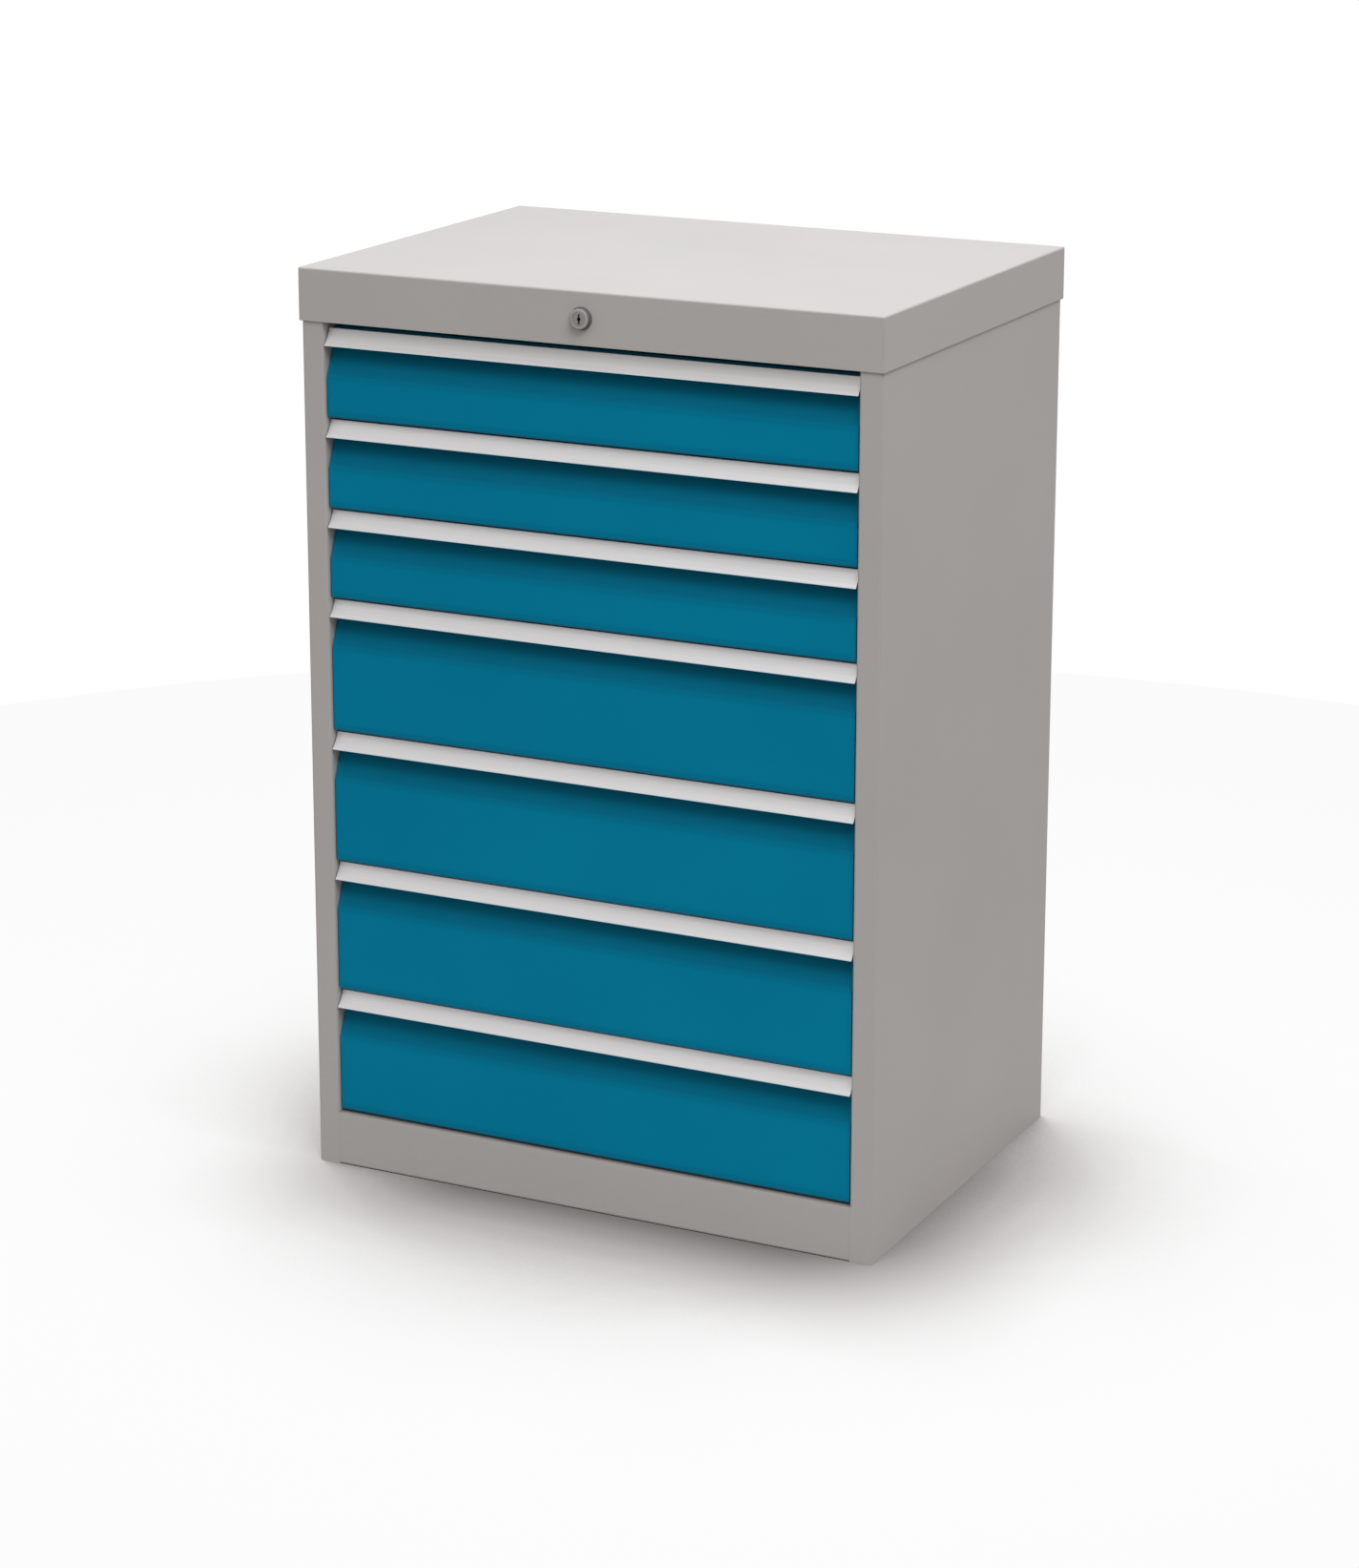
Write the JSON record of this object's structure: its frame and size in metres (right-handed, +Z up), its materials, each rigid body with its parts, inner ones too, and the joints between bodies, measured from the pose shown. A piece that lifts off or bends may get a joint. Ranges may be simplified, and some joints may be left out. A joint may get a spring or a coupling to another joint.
{
  "type": "industrial drawer cabinet",
  "caption": "Free-standing steel drawer cabinet with full-extension drawers, full-width grip rails and a central lock in the skirt of its flat top cover.",
  "frame": {"origin": "on the floor, in the middle of the body's width and depth", "axes": "+X to the right seen from the front, -Y the side the drawers pull out of, +Z up"},
  "size_m": [0.684, 0.503, 1.02],
  "materials": {
    "housing_paint": "light grey fine-texture powder coat",
    "front_paint": "petrol blue fine-texture powder coat",
    "grip_aluminium": "brushed and anodised, natural silver",
    "zinc_steel": "bright zinc plate",
    "lock_grey": "grey coated lock head and barrel",
    "lock_core": "satin nickel plug"
  },
  "bodies": {
    "housing": {"side_panel_left": "housing_paint", "side_panel_right": "housing_paint", "back_panel": "housing_paint", "floor_pan": "housing_paint", "base_front_plate": "housing_paint", "top_front_rail": "housing_paint", "top_cover": "housing_paint", "cover_nuts": "zinc_steel", "rack_uprights_front": "housing_paint", "rack_uprights_rear": "housing_paint", "rod_bearing": "zinc_steel", "bar_guides": "zinc_steel", "lock_barrel": "lock_grey", "lock_nut": "zinc_steel", "drawer_1_cabinet_rails": "zinc_steel", "drawer_2_cabinet_rails": "zinc_steel", "drawer_3_cabinet_rails": "zinc_steel", "drawer_4_cabinet_rails": "zinc_steel", "drawer_5_cabinet_rails": "zinc_steel", "drawer_6_cabinet_rails": "zinc_steel", "drawer_7_cabinet_rails": "zinc_steel"},
    "lock": {"lock_plug": "lock_core", "lock_rod": "zinc_steel"},
    "latch": {"locking_bar": "zinc_steel", "locking_fingers": "zinc_steel"},
    "drawer_1": {"drawer_1_tray": "housing_paint", "drawer_1_front": "front_paint", "drawer_1_grip_rail": "grip_aluminium", "drawer_1_runners": "zinc_steel"},
    "carriage_1": {"drawer_1_carriages": "zinc_steel"},
    "drawer_2": {"drawer_2_tray": "housing_paint", "drawer_2_front": "front_paint", "drawer_2_grip_rail": "grip_aluminium", "drawer_2_runners": "zinc_steel"},
    "carriage_2": {"drawer_2_carriages": "zinc_steel"},
    "drawer_3": {"drawer_3_tray": "housing_paint", "drawer_3_front": "front_paint", "drawer_3_grip_rail": "grip_aluminium", "drawer_3_runners": "zinc_steel"},
    "carriage_3": {"drawer_3_carriages": "zinc_steel"},
    "drawer_4": {"drawer_4_tray": "housing_paint", "drawer_4_front": "front_paint", "drawer_4_grip_rail": "grip_aluminium", "drawer_4_runners": "zinc_steel"},
    "carriage_4": {"drawer_4_carriages": "zinc_steel"},
    "drawer_5": {"drawer_5_tray": "housing_paint", "drawer_5_front": "front_paint", "drawer_5_grip_rail": "grip_aluminium", "drawer_5_runners": "zinc_steel"},
    "carriage_5": {"drawer_5_carriages": "zinc_steel"},
    "drawer_6": {"drawer_6_tray": "housing_paint", "drawer_6_front": "front_paint", "drawer_6_grip_rail": "grip_aluminium", "drawer_6_runners": "zinc_steel"},
    "carriage_6": {"drawer_6_carriages": "zinc_steel"},
    "drawer_7": {"drawer_7_tray": "housing_paint", "drawer_7_front": "front_paint", "drawer_7_grip_rail": "grip_aluminium", "drawer_7_runners": "zinc_steel"},
    "carriage_7": {"drawer_7_carriages": "zinc_steel"}
  },
  "joints": [
    {"name": "lock_turn", "type": "hinge", "parent": "housing", "child": "lock", "pos_m": [0, -0.248, 0.991], "axis": [0, 1, 0], "range_deg": [0, 90]},
    {"name": "latch_lift", "type": "slide", "parent": "housing", "child": "latch", "axis": [0, 0, 1], "range_m": [0, 0.01]},
    {"name": "drawer_1_slide", "type": "slide", "parent": "housing", "child": "drawer_1", "axis": [0, -1, 0], "range_m": [0, 0.43]},
    {"name": "carriage_1_slide", "type": "slide", "parent": "housing", "child": "carriage_1", "axis": [0, -1, 0], "range_m": [0, 0.215]},
    {"name": "drawer_2_slide", "type": "slide", "parent": "housing", "child": "drawer_2", "axis": [0, -1, 0], "range_m": [0, 0.43]},
    {"name": "carriage_2_slide", "type": "slide", "parent": "housing", "child": "carriage_2", "axis": [0, -1, 0], "range_m": [0, 0.215]},
    {"name": "drawer_3_slide", "type": "slide", "parent": "housing", "child": "drawer_3", "axis": [0, -1, 0], "range_m": [0, 0.43]},
    {"name": "carriage_3_slide", "type": "slide", "parent": "housing", "child": "carriage_3", "axis": [0, -1, 0], "range_m": [0, 0.215]},
    {"name": "drawer_4_slide", "type": "slide", "parent": "housing", "child": "drawer_4", "axis": [0, -1, 0], "range_m": [0, 0.43]},
    {"name": "carriage_4_slide", "type": "slide", "parent": "housing", "child": "carriage_4", "axis": [0, -1, 0], "range_m": [0, 0.215]},
    {"name": "drawer_5_slide", "type": "slide", "parent": "housing", "child": "drawer_5", "axis": [0, -1, 0], "range_m": [0, 0.43]},
    {"name": "carriage_5_slide", "type": "slide", "parent": "housing", "child": "carriage_5", "axis": [0, -1, 0], "range_m": [0, 0.215]},
    {"name": "drawer_6_slide", "type": "slide", "parent": "housing", "child": "drawer_6", "axis": [0, -1, 0], "range_m": [0, 0.43]},
    {"name": "carriage_6_slide", "type": "slide", "parent": "housing", "child": "carriage_6", "axis": [0, -1, 0], "range_m": [0, 0.215]},
    {"name": "drawer_7_slide", "type": "slide", "parent": "housing", "child": "drawer_7", "axis": [0, -1, 0], "range_m": [0, 0.43]},
    {"name": "carriage_7_slide", "type": "slide", "parent": "housing", "child": "carriage_7", "axis": [0, -1, 0], "range_m": [0, 0.215]}
  ],
  "couplings": [
    {"joint": "lock_turn", "follows": "latch_lift", "rad_per_m": 157.07},
    {"joint": "carriage_1_slide", "follows": "drawer_1_slide", "ratio": 0.5},
    {"joint": "carriage_2_slide", "follows": "drawer_2_slide", "ratio": 0.5},
    {"joint": "carriage_3_slide", "follows": "drawer_3_slide", "ratio": 0.5},
    {"joint": "carriage_4_slide", "follows": "drawer_4_slide", "ratio": 0.5},
    {"joint": "carriage_5_slide", "follows": "drawer_5_slide", "ratio": 0.5},
    {"joint": "carriage_6_slide", "follows": "drawer_6_slide", "ratio": 0.5},
    {"joint": "carriage_7_slide", "follows": "drawer_7_slide", "ratio": 0.5}
  ]
}
